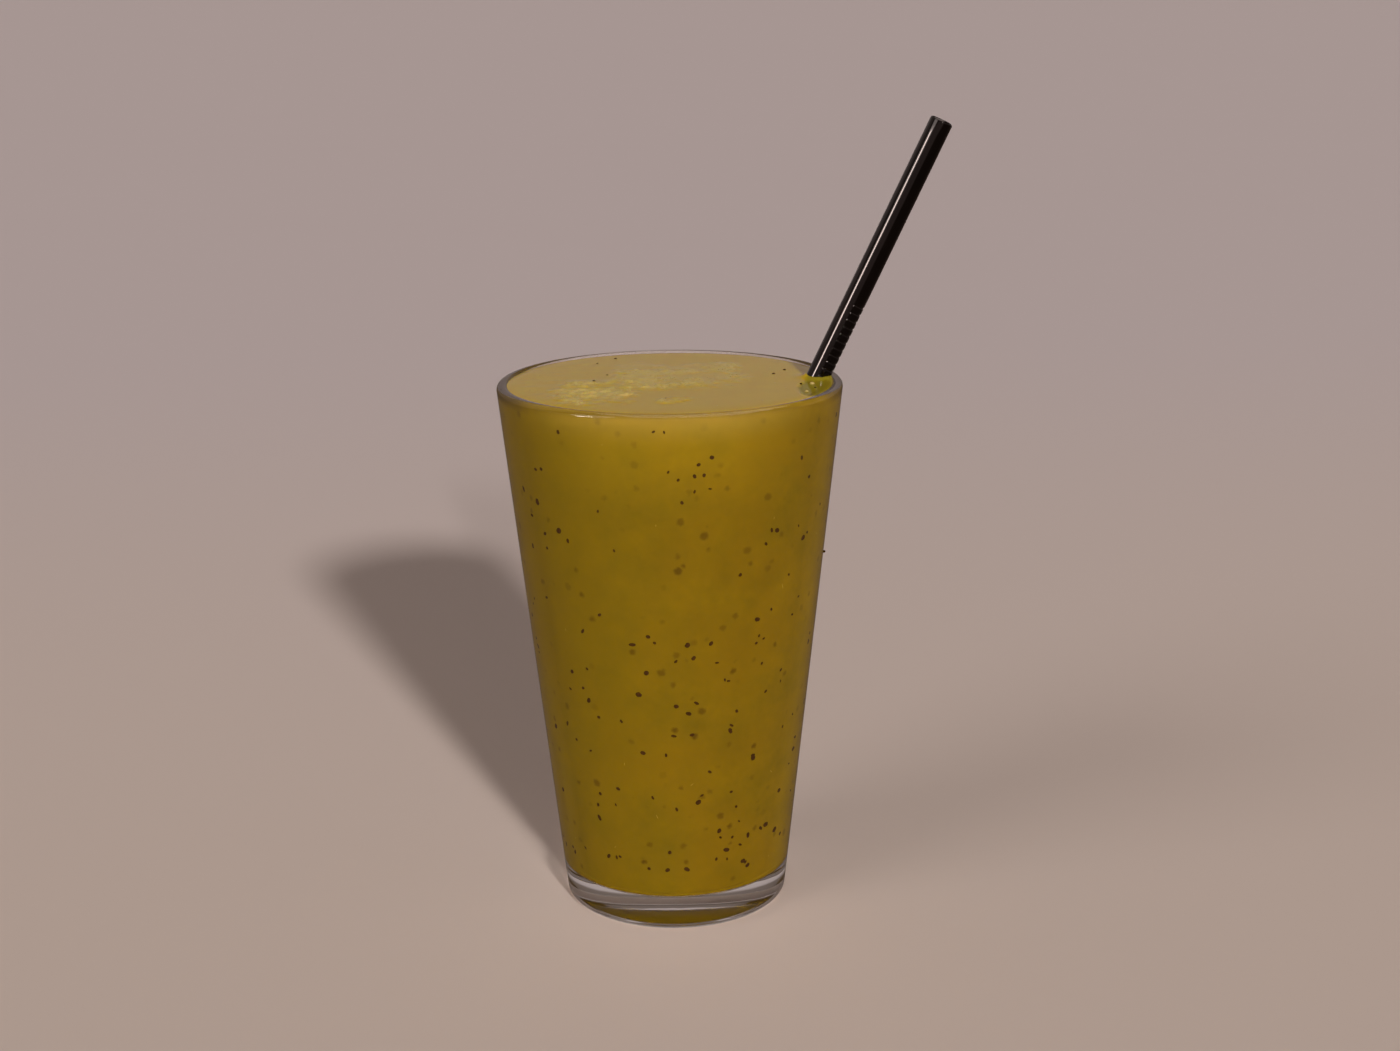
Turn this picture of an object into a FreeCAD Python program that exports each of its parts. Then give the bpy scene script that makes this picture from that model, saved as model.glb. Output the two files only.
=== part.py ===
"""A thick fruit drink in a tapered glass, with a steel straw resting in it.

The glass stands on z = 0 with its axis on Z. The straw leans towards +X, in the XZ plane.
All sizes are in millimetres.
"""
import FreeCAD, Part
import math
import os

# Glass: a straight-sided tumbler with a thick foot and a fully rounded lip
GLASS_HEIGHT = 140.5
RIM_DIAMETER = 88.9
FOOT_DIAMETER = 59.4
LIP_THICKNESS = 3.0
FOOT_WALL = 3.7         # the wall just above the inner floor
FLOOR_THICKNESS = 8.5
HEEL_RADIUS = 2.0
FLOOR_FILLET = 2.5
FOOT_RING_WIDTH = 5.2   # the flat ring that the glass stands on
PUNT_DEPTH = 2.3        # the domed hollow inside that ring

# Drink
FILL_BELOW_RIM = 0.9
MENISCUS_RISE = 0.4     # how far the drink climbs the wall or the lip
MENISCUS_WIDTH = 1.6

# Straw
STRAW_LENGTH = 217.0
STRAW_DIAMETER = 6.0
STRAW_WALL = 0.5
STRAW_END_ROUND = 0.8   # both ends are rolled inwards to this radius
GROOVE_COUNT = 15
GROOVE_PITCH = 2.0
GROOVE_FROM_TIP = 51.2
GROOVE_DEPTH = 0.2
GROOVE_RADIUS = 0.4     # of the groove's round section
GROOVE_FADE = 112.0     # degrees each way from the side it leans to, where the groove runs out

# Clearances
DRINK_GAP = 0.05        # between the drink and what it wets
REST_GAP = 0.05         # between the straw and what it leans on

LIP_RADIUS = LIP_THICKNESS / 2
LIP_CENTRE = (RIM_DIAMETER / 2 - LIP_RADIUS, GLASS_HEIGHT - LIP_RADIUS)
HEEL_CENTRE = (FOOT_DIAMETER / 2 - HEEL_RADIUS, HEEL_RADIUS)
STRAW_RADIUS = STRAW_DIAMETER / 2
DRINK_LEVEL = GLASS_HEIGHT - FILL_BELOW_RIM
ORIGIN = FreeCAD.Vector(0, 0, 0)
Y_AXIS = FreeCAD.Vector(0, 1, 0)
Z_AXIS = FreeCAD.Vector(0, 0, 1)


def at(point):
    """A point (radius, height) as a vector in the XZ plane."""
    return FreeCAD.Vector(point[0], 0, point[1])


def on_circle(centre, radius, angle):
    """The point of a circle at an angle in radians, counted from the outward direction upwards."""
    return (centre[0] + radius * math.cos(angle), centre[1] + radius * math.sin(angle))


def line(start, end):
    return Part.LineSegment(at(start), at(end)).toShape()


def arc(centre, radius, start, end):
    """An arc about centre from angle start to angle end, in radians."""
    middle = (start + end) / 2
    points = [at(on_circle(centre, radius, angle)) for angle in (start, middle, end)]
    return Part.Arc(*points).toShape()


def revolved(edges, grow=0):
    """The solid that a closed outline in the XZ plane sweeps round the Z axis.

    The outline is first moved out by grow. The seam lies at +Y, away from where the pieces meet.
    """
    face = Part.Face(Part.Wire(Part.__sortEdges__(edges)))
    if grow:
        face = face.makeOffset2D(grow, 2)
    solid = face.revolve(ORIGIN, Z_AXIS, 360)
    solid.rotate(ORIGIN, Z_AXIS, 90)
    return solid


def tangent_angle(low, low_radius, high, high_radius):
    """The outward normal's angle of the line that touches a low and a high circle.

    It touches each on its outward side, or on its inward side where the radius is negative.
    """
    rise = (high[0] - low[0], high[1] - low[1])
    lean = math.acos((low_radius - high_radius) / math.hypot(*rise))
    return math.atan2(rise[1], rise[0]) - lean


WALL_ANGLE = tangent_angle(HEEL_CENTRE, HEEL_RADIUS, LIP_CENTRE, LIP_RADIUS)


def outer_radius(height):
    """The radius of the glass's straight outer wall at a height."""
    foot = on_circle(HEEL_CENTRE, HEEL_RADIUS, WALL_ANGLE)
    return foot[0] - (height - foot[1]) * math.tan(WALL_ANGLE)


FLOOR_CENTRE = (outer_radius(FLOOR_THICKNESS) - FOOT_WALL - FLOOR_FILLET, FLOOR_THICKNESS + FLOOR_FILLET)
INNER_ANGLE = tangent_angle(FLOOR_CENTRE, FLOOR_FILLET, LIP_CENTRE, -LIP_RADIUS)


def inner_foot(gap):
    """Where the inner wall, set in by a gap, runs into the floor's fillet."""
    return on_circle(FLOOR_CENTRE, FLOOR_FILLET - gap, INNER_ANGLE)


def inner_radius(height, gap):
    """The radius of the straight inner wall at a height, set in by a gap."""
    foot = inner_foot(gap)
    return foot[0] - (height - foot[1]) * math.tan(INNER_ANGLE)


def cavity_floor(gap):
    """The floor and its fillet, from the axis out to the inner wall, set in by a gap."""
    edge = (FLOOR_CENTRE[0], FLOOR_THICKNESS + gap)
    fillet = arc(FLOOR_CENTRE, FLOOR_FILLET - gap, -math.pi / 2, INNER_ANGLE)
    return [line((0, edge[1]), edge), fillet]


def glass():
    """One revolved wall: punt, foot ring, heel, outer wall, lip, inner wall and floor."""
    ring = HEEL_CENTRE[0] - FOOT_RING_WIDTH
    punt_radius = (ring ** 2 + PUNT_DEPTH ** 2) / (2 * PUNT_DEPTH)
    punt_edge = math.asin(ring / punt_radius)
    punt_centre = (0, PUNT_DEPTH - punt_radius)
    edges = [
        arc(punt_centre, punt_radius, math.pi / 2, math.pi / 2 - punt_edge),
        line((ring, 0), (HEEL_CENTRE[0], 0)),
        arc(HEEL_CENTRE, HEEL_RADIUS, -math.pi / 2, WALL_ANGLE),
        line(on_circle(HEEL_CENTRE, HEEL_RADIUS, WALL_ANGLE), on_circle(LIP_CENTRE, LIP_RADIUS, WALL_ANGLE)),
        arc(LIP_CENTRE, LIP_RADIUS, WALL_ANGLE, INNER_ANGLE + math.pi),
        line(on_circle(LIP_CENTRE, -LIP_RADIUS, INNER_ANGLE), inner_foot(0)),
        line((0, PUNT_DEPTH), (0, FLOOR_THICKNESS)),
    ]
    return revolved(edges + cavity_floor(0))


def wetted_wall(top, gap):
    """The inner wall, and the lip's inner round above it, up to a height, set in by a gap.

    Also gives the point where it ends.
    """
    lip_radius = LIP_RADIUS + gap
    turn = on_circle(LIP_CENTRE, -lip_radius, INNER_ANGLE)
    if top <= turn[1]:
        edge = (inner_radius(top, gap), top)
        return [line(inner_foot(gap), edge)], edge
    angle = math.pi - math.asin((top - LIP_CENTRE[1]) / lip_radius)
    edge = on_circle(LIP_CENTRE, lip_radius, angle)
    return [line(inner_foot(gap), turn), arc(LIP_CENTRE, lip_radius, INNER_ANGLE + math.pi, angle)], edge


def meniscus(edge):
    """The hollow arc by which the drink's surface climbs to its edge, and the point where it starts."""
    start = (edge[0] - MENISCUS_WIDTH, DRINK_LEVEL)
    radius = (MENISCUS_WIDTH ** 2 + MENISCUS_RISE ** 2) / (2 * MENISCUS_RISE)
    sweep = math.asin(MENISCUS_WIDTH / radius)
    centre = (start[0], start[1] + radius)
    return arc(centre, radius, -math.pi / 2, -math.pi / 2 + sweep), start


def drink_body():
    """The drink as it fills the glass, before the straw is in it."""
    side, edge = wetted_wall(DRINK_LEVEL + MENISCUS_RISE, DRINK_GAP)
    rise, start = meniscus(edge)
    middle = [
        line(start, (0, DRINK_LEVEL)),
        line((0, DRINK_LEVEL), (0, FLOOR_THICKNESS + DRINK_GAP)),
    ]
    return revolved(side + [rise] + middle + cavity_floor(DRINK_GAP))


def rolled_end(centre_height, way):
    """One end of the tube: its wall curls inwards through a quarter turn. way is 1 up, -1 down."""
    centre = (STRAW_RADIUS - STRAW_END_ROUND, centre_height)
    bore_round = STRAW_END_ROUND - STRAW_WALL
    turn = way * math.pi / 2
    return [
        arc(centre, STRAW_END_ROUND, 0, turn),
        line(on_circle(centre, STRAW_END_ROUND, turn), on_circle(centre, bore_round, turn)),
        arc(centre, bore_round, 0, turn),
    ]


def straw_tube(grow=0):
    """The straight tube along Z from z = 0, with every face moved out by grow."""
    bore = STRAW_RADIUS - STRAW_WALL
    low = STRAW_END_ROUND
    high = STRAW_LENGTH - STRAW_END_ROUND
    edges = [line((STRAW_RADIUS, low), (STRAW_RADIUS, high)), line((bore, low), (bore, high))]
    return revolved(edges + rolled_end(low, -1) + rolled_end(high, 1), grow)


def groove(height):
    """A ring of round section, set off centre so that it bites one side and runs out round the back."""
    offset = GROOVE_DEPTH / (1 - math.cos(math.radians(GROOVE_FADE)))
    ring = STRAW_RADIUS + GROOVE_RADIUS - GROOVE_DEPTH + offset
    centre = FreeCAD.Vector(-offset, 0, height)
    cutter = Part.makeTorus(ring, GROOVE_RADIUS, centre, Z_AXIS)
    cutter.rotate(centre, Z_AXIS, 90)
    return cutter


def straw_tilt_room(tilt):
    """How much farther the lower end could move out before it meets the inner wall.

    The straw leans on the lip at this tilt, and its end's low side stands on the floor.
    """
    end = straw_end(tilt)
    low = (math.sin(tilt) * STRAW_END_ROUND, math.cos(tilt) * STRAW_END_ROUND)
    reach = STRAW_RADIUS - STRAW_END_ROUND
    corner = (-(end[0] + low[0] - reach * math.cos(tilt)), end[1] + low[1] + reach * math.sin(tilt))
    return cavity_room(corner) - STRAW_END_ROUND - REST_GAP


def cavity_room(point):
    """The distance from a point low in the cavity to its wall, or to the floor's fillet beside it."""
    foot = inner_foot(0)
    normal = (math.cos(INNER_ANGLE), math.sin(INNER_ANGLE))
    above_fillet = (point[1] - foot[1]) * normal[0] - (point[0] - foot[0]) * normal[1]
    if above_fillet < 0 and point[0] > FLOOR_CENTRE[0]:
        return FLOOR_FILLET - math.dist(point, FLOOR_CENTRE)
    return (foot[0] - point[0]) * normal[0] + (foot[1] - point[1]) * normal[1]


def straw_end(tilt):
    """The centre of the straw's lower end where it leans on the lip and stands on the floor."""
    reach = STRAW_RADIUS - STRAW_END_ROUND
    height = FLOOR_THICKNESS + STRAW_END_ROUND + REST_GAP
    height += reach * math.sin(tilt) - STRAW_END_ROUND * math.cos(tilt)
    lean = (STRAW_RADIUS + LIP_RADIUS + REST_GAP) / math.cos(tilt)
    across = LIP_CENTRE[0] - lean - (LIP_CENTRE[1] - height) * math.tan(tilt)
    return (across, height)


def rest_tilt():
    """The tilt at which the straw's end reaches the inner wall opposite the lip it leans on."""
    upright, flat = 0.0, math.radians(80)
    for _ in range(60):
        middle = (upright + flat) / 2
        if straw_tilt_room(middle) > 0:
            upright = middle
        else:
            flat = middle
    return upright


def seated(shape):
    """A shape made along Z, moved to where the straw rests."""
    tilt = rest_tilt()
    shape.rotate(ORIGIN, Y_AXIS, math.degrees(tilt))
    shape.translate(at(straw_end(tilt)))
    return shape


def straw():
    """The grooved steel tube."""
    tube = straw_tube()
    for number in range(GROOVE_COUNT):
        tube = tube.cut(groove(STRAW_LENGTH - GROOVE_FROM_TIP - number * GROOVE_PITCH))
    return seated(tube)


def drink():
    """The drink, cut round the straw. It also stands in the straw's bore, up to the same level."""
    return drink_body().cut(seated(straw_tube(DRINK_GAP)))


PARTS = {"glass": glass, "drink": drink, "straw": straw}

os.makedirs("parts", exist_ok=True)
for name, make in PARTS.items():
    shape = make()
    solids = shape.Solids
    print(name, len(solids), "solid", "valid" if shape.isValid() else "INVALID",
          "volume", round(shape.Volume / 1000, 2), "ml", shape.BoundBox)
    solids[0].exportStep("parts/" + name + ".step")
print("tilt", round(math.degrees(rest_tilt()), 3), "lower end", straw_end(rest_tilt()))
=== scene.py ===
import math
import random

import bmesh
import bpy
import numpy as np
from bpy.props import FloatProperty, FloatVectorProperty, IntProperty, PointerProperty
from mathutils import Matrix, Vector, noise


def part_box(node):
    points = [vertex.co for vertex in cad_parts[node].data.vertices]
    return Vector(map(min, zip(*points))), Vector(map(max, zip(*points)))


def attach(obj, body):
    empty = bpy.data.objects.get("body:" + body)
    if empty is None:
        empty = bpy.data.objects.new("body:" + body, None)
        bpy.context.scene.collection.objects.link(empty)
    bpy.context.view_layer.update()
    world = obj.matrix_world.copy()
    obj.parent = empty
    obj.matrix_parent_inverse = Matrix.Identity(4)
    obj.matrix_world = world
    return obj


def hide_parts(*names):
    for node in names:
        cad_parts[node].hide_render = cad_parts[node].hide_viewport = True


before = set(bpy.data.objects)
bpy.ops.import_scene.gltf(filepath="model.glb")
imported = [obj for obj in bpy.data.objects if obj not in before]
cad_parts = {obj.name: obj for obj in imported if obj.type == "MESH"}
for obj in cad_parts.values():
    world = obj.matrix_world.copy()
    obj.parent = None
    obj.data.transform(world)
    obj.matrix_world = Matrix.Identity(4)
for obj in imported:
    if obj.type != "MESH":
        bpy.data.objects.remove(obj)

bl_info = {
    "name": "Fruit drink in a glass",
    "version": (1, 0, 0),
    "blender": (4, 5, 0),
    "location": "3D View > Sidebar > Fruit drink",
    "description": "Builds a thick fruit drink in a tapered glass, with a grooved steel straw",
    "category": "Add Mesh",
}

MM = 0.001
BODY = "root"
GLASS_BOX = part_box("glass")
DRINK_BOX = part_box("drink")
STRAW_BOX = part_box("straw")

# What the colour and the share properties have in common.
COLOUR = {"subtype": "COLOR", "size": 3, "min": 0, "max": 1}
SHARE = {"subtype": "FACTOR", "min": 0, "max": 1}


# ---------------------------------------------------------------- settings

class GlassSettings(bpy.types.PropertyGroup):
    """Sizes and finish of the tumbler."""
    rim_radius: FloatProperty(
        name="Rim radius", description="Outside of the rounded lip",
        default=GLASS_BOX[1].x, unit="LENGTH")
    height: FloatProperty(
        name="Height", description="From the table to the top of the lip",
        default=GLASS_BOX[1].z, unit="LENGTH")
    foot_radius: FloatProperty(
        name="Foot radius", description="Outside of the heel", default=29.7 * MM, unit="LENGTH")
    lip_thickness: FloatProperty(
        name="Lip thickness", description="The lip is a full round of this thickness",
        default=3.0 * MM, unit="LENGTH")
    foot_wall: FloatProperty(
        name="Foot wall", description="Wall just above the inner floor", default=3.7 * MM, unit="LENGTH")
    floor_thickness: FloatProperty(
        name="Floor thickness", description="From the table to the inner floor",
        default=8.5 * MM, unit="LENGTH")
    heel_radius: FloatProperty(
        name="Heel radius", description="Rounding of the foot's outer edge",
        default=2.0 * MM, unit="LENGTH")
    floor_fillet: FloatProperty(
        name="Floor fillet", description="Rounding of the inner floor's edge",
        default=2.5 * MM, unit="LENGTH")
    foot_ring: FloatProperty(
        name="Foot ring", description="Width of the flat ring it stands on",
        default=5.2 * MM, unit="LENGTH")
    punt_depth: FloatProperty(
        name="Punt depth", description="Domed hollow inside the foot ring",
        default=2.3 * MM, unit="LENGTH")
    segments: IntProperty(name="Segments", description="Faces round the glass", default=224, min=24)
    tint: FloatVectorProperty(
        name="Tint", description="Colour of the clear glass", default=(0.95, 0.955, 0.95), **COLOUR)
    # Painted shade: this tint darkens the rounded lip, standing in for the shade that it lies in.
    lip_shade_tint: FloatVectorProperty(
        name="Lip tint", description="Colour of the rounded lip, which gathers less light",
        default=(0.88, 0.85, 0.85), **COLOUR)
    # Painted shade: a dark glow of fixed colour on the lip's left and right ends.
    lip_shade: FloatProperty(
        name="Lip shade", description="How much of the lip's left and right ends lies in shade",
        default=0.6, **SHARE)
    shade_colour: FloatVectorProperty(
        name="Shade colour", description="Colour of the lip's shaded ends",
        default=(0.05, 0.032, 0.02), **COLOUR)
    index: FloatProperty(name="Index", description="Refractive index of the glass", default=1.52)
    gloss: FloatProperty(
        name="Gloss", description="Strength of the reflections seen square on, 1 for plain glass",
        default=0.4, **SHARE)
    wall_light: FloatProperty(
        name="Light through the wall", description="Share of direct light that passes one surface",
        default=0.93, **SHARE)
    foot_light: FloatProperty(
        name="Light through the foot", description="Share of direct light that passes one surface there",
        default=0.22, **SHARE)
    # Painted light: a glow of fixed colour that stands in for light still inside the glass after several
    # reflections.
    depth_glow_colour: FloatVectorProperty(
        name="Depth colour", description="What light shows after several reflections inside the glass",
        default=(0.17, 0.135, 0.125), **COLOUR)


class DrinkSettings(bpy.types.PropertyGroup):
    """Sizes and finish of the drink."""
    level: FloatProperty(
        name="Level", description="Height of the drink's flat surface",
        default=DRINK_BOX[1].z + 0.2 * MM, unit="LENGTH")
    edge_drop: FloatProperty(
        name="Edge drop", description="How far the brim-full surface rounds down to the lip",
        default=0.32 * MM, unit="LENGTH")
    edge_reach: FloatProperty(
        name="Edge reach", description="How far from the lip it is flat again",
        default=1.5 * MM, unit="LENGTH")
    straw_rise: FloatProperty(
        name="Straw rise", description="How far the drink climbs the straw",
        default=0.9 * MM, unit="LENGTH")
    straw_reach: FloatProperty(
        name="Straw reach", description="How far from the straw that climb fades out",
        default=1.1 * MM, unit="LENGTH")
    soak: FloatProperty(
        name="Reach into the wall",
        description="How far the drink reaches into the glass, so that no air shows",
        default=0.06 * MM, unit="LENGTH")
    swell: FloatProperty(
        name="Swell", description="Height of the surface's slow waves", default=0.05 * MM, unit="LENGTH")
    streaks: FloatProperty(
        name="Streaks", description="Height of the narrow waves on the side away from the straw's tip",
        default=0.05 * MM, unit="LENGTH")
    ring_step: FloatProperty(
        name="Surface step", description="Distance between the surface's rings",
        default=0.42 * MM, unit="LENGTH")
    hollow: FloatProperty(
        name="Hollow", description="How far the surface sinks in the clearing by the straw",
        default=0.35 * MM, unit="LENGTH")
    segments: IntProperty(name="Segments", description="Faces round the surface", default=480, min=48)
    # Partly painted light: the paler upper band is an aerated layer, lightened further as if lit from
    # above, mostly where the drink is seen square on.
    lit_upper_depth: FloatProperty(
        name="Upper layer", description="How far down its paler upper layer reaches",
        default=27.0 * MM, unit="LENGTH")
    # Partly painted light: the froth band near the level is froth lightened as if lit from above.
    lit_froth_depth: FloatProperty(
        name="Froth layer", description="How far down froth still shows in it",
        default=9.0 * MM, unit="LENGTH")
    body_colour: FloatVectorProperty(
        name="Body colour", description="Colour of the blended fruit",
        default=(0.153, 0.0885, 0.0030), **COLOUR)
    # Besides the aerated layer, this colour also paints light on the side's upper band, flanks and
    # underside.
    upper_colour: FloatVectorProperty(
        name="Upper colour", description="Colour of its aerated upper layer",
        default=(0.62, 0.385, 0.014), **COLOUR)
    # This colour also paints the froth band's light on the drink's side.
    foam_colour: FloatVectorProperty(
        name="Foam colour", description="Colour of the foam that floats on it",
        default=(0.62, 0.45, 0.155), **COLOUR)
    # Partly painted reflection: the clearing's darker colour also stands in for the dark straw mirrored in
    # the surface there.
    clearing_colour: FloatVectorProperty(
        name="Clear colour", description="Colour of the surface where no froth floats",
        default=(0.28, 0.205, 0.012), **COLOUR)
    speck_colour: FloatVectorProperty(
        name="Sunken speck colour", description="Colour of seeds that show through the drink",
        default=(0.07, 0.035, 0.003), **COLOUR)
    index: FloatProperty(name="Index", description="Refractive index of the drink", default=1.36)


class FoamSettings(bpy.types.PropertyGroup):
    """The patch of foam that floats on the drink."""
    thickness: FloatProperty(
        name="Thickness", description="How far the foam stands above the surface",
        default=0.16 * MM, unit="LENGTH")
    ridge: FloatProperty(
        name="Ridge height", description="Height of the foam's folds", default=0.4 * MM, unit="LENGTH")
    ridge_width: FloatProperty(
        name="Ridge width", description="Distance between folds", default=5.0 * MM, unit="LENGTH")
    grain: FloatProperty(
        name="Grain height", description="Height of the foam's fine lumps",
        default=0.19 * MM, unit="LENGTH")
    bubbles: IntProperty(name="Bubbles", description="Number of bubbles on the foam", default=1300)
    smallest: FloatProperty(
        name="Smallest bubble", description="Radius of the smallest bubble",
        default=0.1 * MM, unit="LENGTH")
    largest: FloatProperty(
        name="Largest bubble", description="Radius of the largest bubble",
        default=0.26 * MM, unit="LENGTH")


class SeedSettings(bpy.types.PropertyGroup):
    """Seeds and pulp in the drink."""
    count: IntProperty(name="Seeds", description="Seeds that touch the wall", default=300)
    smallest: FloatProperty(
        name="Smallest seed", description="Length of the smallest seed", default=0.9 * MM, unit="LENGTH")
    largest: FloatProperty(
        name="Largest seed", description="Length of the largest seed", default=1.9 * MM, unit="LENGTH")
    floating: IntProperty(name="Floating seeds", description="Seeds on the drink's surface", default=9)
    fibres: IntProperty(name="Fibres", description="Pale pulp fibres that touch the wall", default=30)
    colour: FloatVectorProperty(
        name="Seed colour", description="Colour of the seeds", default=(0.020, 0.008, 0.002), **COLOUR)
    fibre_colour: FloatVectorProperty(
        name="Fibre colour", description="Colour of the pulp fibres",
        default=(0.34, 0.23, 0.04), **COLOUR)


class StrawSettings(bpy.types.PropertyGroup):
    """Sizes and finish of the straw."""
    radius: FloatProperty(
        name="Radius", description="Outside radius of the tube", default=STRAW_BOX[1].y, unit="LENGTH")
    wall: FloatProperty(name="Wall", description="Thickness of the tube", default=0.5 * MM, unit="LENGTH")
    end_round: FloatProperty(
        name="End rounding", description="Radius that both ends are rolled in to",
        default=0.8 * MM, unit="LENGTH")
    grooves: IntProperty(name="Grooves", description="Number of grooves", default=15)
    pitch: FloatProperty(
        name="Groove pitch", description="Distance between grooves", default=2.0 * MM, unit="LENGTH")
    from_tip: FloatProperty(
        name="First groove", description="Distance of the first groove from the tip",
        default=51.2 * MM, unit="LENGTH")
    groove_depth: FloatProperty(
        name="Groove depth", description="Depth on the side that the straw leans to",
        default=0.2 * MM, unit="LENGTH")
    groove_radius: FloatProperty(
        name="Groove radius", description="Radius of a groove's round section",
        default=0.4 * MM, unit="LENGTH")
    groove_fade: FloatProperty(
        name="Groove fade", description="Angle each way at which a groove runs out",
        default=math.radians(112), subtype="ANGLE")
    segments: IntProperty(name="Segments", description="Faces round the straw", default=144, min=24)
    colour: FloatVectorProperty(
        name="Steel colour", description="Colour of the dark polished steel",
        default=(0.029, 0.026, 0.025), **COLOUR)


class StageSettings(bpy.types.PropertyGroup):
    """Camera, lights, floor and background."""
    lens: FloatProperty(name="Lens", description="Focal length in millimetres", default=52.69)
    azimuth: FloatProperty(
        name="Camera azimuth", description="0 looks along +Y",
        default=math.radians(-4.75), subtype="ANGLE")
    elevation: FloatProperty(
        name="Camera elevation", description="Above the horizon",
        default=math.radians(15.04), subtype="ANGLE")
    roll: FloatProperty(
        name="Camera roll", description="Turn about the line of sight",
        default=math.radians(0.57), subtype="ANGLE")
    distance: FloatProperty(
        name="Camera distance", description="From the point it looks at",
        default=537.4 * MM, unit="LENGTH")
    aim_height: FloatProperty(
        name="Aim height", description="Height of the point it looks at",
        default=101.5 * MM, unit="LENGTH")
    aim_side: FloatProperty(
        name="Aim offset", description="How far right of the glass's axis it looks",
        default=7.41 * MM, unit="LENGTH")
    key: FloatProperty(name="Key light", description="Strength of the main light", default=2.6)
    fill: FloatProperty(name="Fill light", description="Strength of the side light", default=0.62)
    ambient: FloatProperty(name="Ambient", description="Strength of the even light", default=0.17)
    ambient_colour: FloatVectorProperty(
        name="Ambient colour", description="Colour of the even light",
        default=(0.93, 0.81, 0.75), **COLOUR)
    strip: FloatProperty(
        name="Strip light", description="Brightness of the narrow light that metal shows", default=25.0)
    ceiling: FloatProperty(
        name="Ceiling light", description="Brightness of the overhead panel that gloss shows",
        default=3.0)
    left: FloatProperty(
        name="Left light", description="Brightness of the panel that gloss shows on the left", default=0.3)
    floor_colour: FloatVectorProperty(
        name="Floor colour", description="Colour of the pale floor",
        default=(0.70, 0.56, 0.485), **COLOUR)
    far_colour: FloatVectorProperty(
        name="Far floor colour", description="Colour of the floor well behind the object",
        default=(0.66, 0.545, 0.525), **COLOUR)
    back_colour: FloatVectorProperty(
        name="Background colour", description="Colour of the pale background",
        default=(0.39, 0.32, 0.305), **COLOUR)
    lower_colour: FloatVectorProperty(
        name="Colour below", description="Colour that gloss shows below the horizon",
        default=(0.10, 0.07, 0.055), **COLOUR)
    upper_colour: FloatVectorProperty(
        name="Colour above", description="Colour above the background's top edge",
        default=(0.15, 0.115, 0.10), **COLOUR)
    back_top: FloatProperty(
        name="Background top", description="How high above the horizon the background reaches",
        default=math.radians(21), subtype="ANGLE")


SETTINGS = {
    "drink_glass": GlassSettings,
    "drink_body": DrinkSettings,
    "drink_foam": FoamSettings,
    "drink_seeds": SeedSettings,
    "drink_straw": StrawSettings,
    "drink_stage": StageSettings,
}


# ---------------------------------------------------------------- the glass's outline

def on_circle(centre, radius, angle):
    """A circle's point (radius, height) at an angle counted from the outward direction upwards."""
    return (centre[0] + radius * math.cos(angle), centre[1] + radius * math.sin(angle))


def arc_points(centre, radius, start, end, count):
    """count points along an arc, both ends included."""
    return [on_circle(centre, radius, start + (end - start) * i / (count - 1)) for i in range(count)]


def line_points(start, end, count):
    """count points between two points, without the ends, closer together near the ends."""
    shares = [(1 - math.cos(math.pi * i / (count + 1))) / 2 for i in range(1, count + 1)]
    return [(start[0] + (end[0] - start[0]) * t, start[1] + (end[1] - start[1]) * t) for t in shares]


def tangent_angle(low, low_radius, high, high_radius):
    """The normal's angle of the line that touches a low and a high circle.

    It touches each on its outward side, or on its inward side where the radius is negative.
    """
    rise = (high[0] - low[0], high[1] - low[1])
    lean = math.acos((low_radius - high_radius) / math.hypot(*rise))
    return math.atan2(rise[1], rise[0]) - lean


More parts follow.
